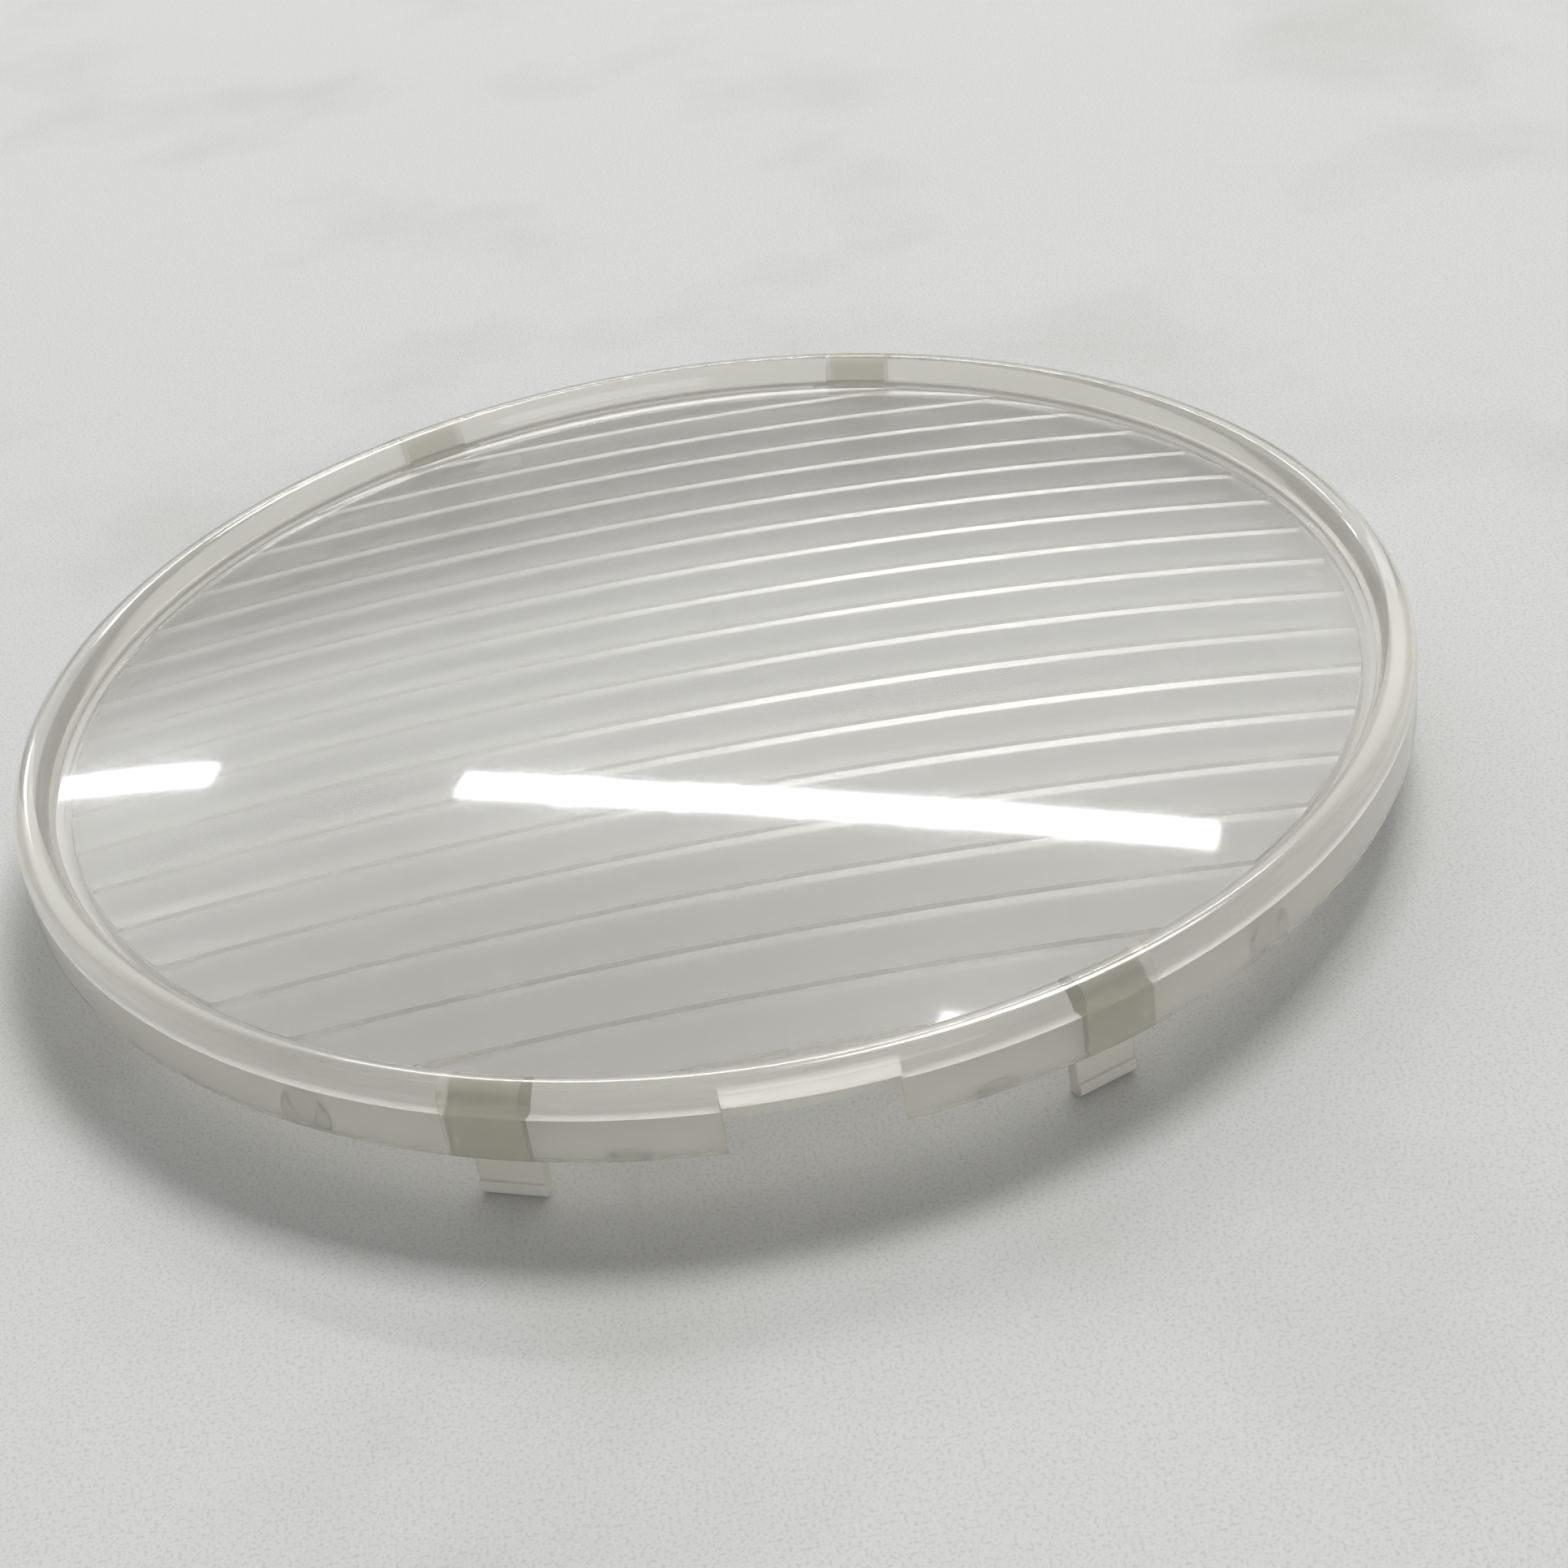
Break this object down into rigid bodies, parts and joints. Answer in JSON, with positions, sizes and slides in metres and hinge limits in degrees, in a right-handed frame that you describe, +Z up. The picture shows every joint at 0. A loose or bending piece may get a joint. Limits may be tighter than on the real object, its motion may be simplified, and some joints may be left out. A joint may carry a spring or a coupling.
{
  "type": "round snap-in lamp lens",
  "caption": "Round clear plastic lamp lens: a domed disc fluted underneath, a hollow rim with a pry notch, and snap hooks below.",
  "frame": {"origin": "on the surface it stands on, under the centre of the lens", "axes": "+Z up out of the domed face, -Y toward the pry notch, flutes along X"},
  "size_m": [0.1016, 0.1016, 0.0117],
  "materials": {
    "clear_lens": "glossy clear face, satin flutes underneath",
    "milky_rim": "clear plastic over a satin channel, looks milky",
    "leg_plastic": "solid clear plastic, looks grey-tan through its depth",
    "hook_plastic": "solid clear plastic, faintly tan"
  },
  "bodies": {
    "lens_body": {"fluted_lens": "clear_lens", "locating_wall": "milky_rim", "rim_skirt": "milky_rim", "leg_front_left": "leg_plastic", "leg_front_right": "leg_plastic", "leg_back_left": "leg_plastic", "leg_back_right": "leg_plastic", "ejector_pads": "milky_rim"},
    "snap_front_left": {"hook_front_left": "hook_plastic"},
    "snap_front_right": {"hook_front_right": "hook_plastic"},
    "snap_back_left": {"hook_back_left": "hook_plastic"},
    "snap_back_right": {"hook_back_right": "hook_plastic"}
  },
  "joints": [
    {"name": "flex_front_left", "type": "hinge", "parent": "lens_body", "child": "snap_front_left", "pos_m": [-0.01835, -0.04431, 0.005], "axis": [0.9239, -0.3827, 0], "range_deg": [0, 8], "stiffness_Nm_per_rad": 0.5},
    {"name": "flex_front_right", "type": "hinge", "parent": "lens_body", "child": "snap_front_right", "pos_m": [0.01835, -0.04431, 0.005], "axis": [0.9239, 0.3827, 0], "range_deg": [0, 8], "stiffness_Nm_per_rad": 0.5},
    {"name": "flex_back_left", "type": "hinge", "parent": "lens_body", "child": "snap_back_left", "pos_m": [-0.01835, 0.04431, 0.005], "axis": [-0.9239, -0.3827, 0], "range_deg": [0, 8], "stiffness_Nm_per_rad": 0.5},
    {"name": "flex_back_right", "type": "hinge", "parent": "lens_body", "child": "snap_back_right", "pos_m": [0.01835, 0.04431, 0.005], "axis": [-0.9239, 0.3827, 0], "range_deg": [0, 8], "stiffness_Nm_per_rad": 0.5}
  ]
}
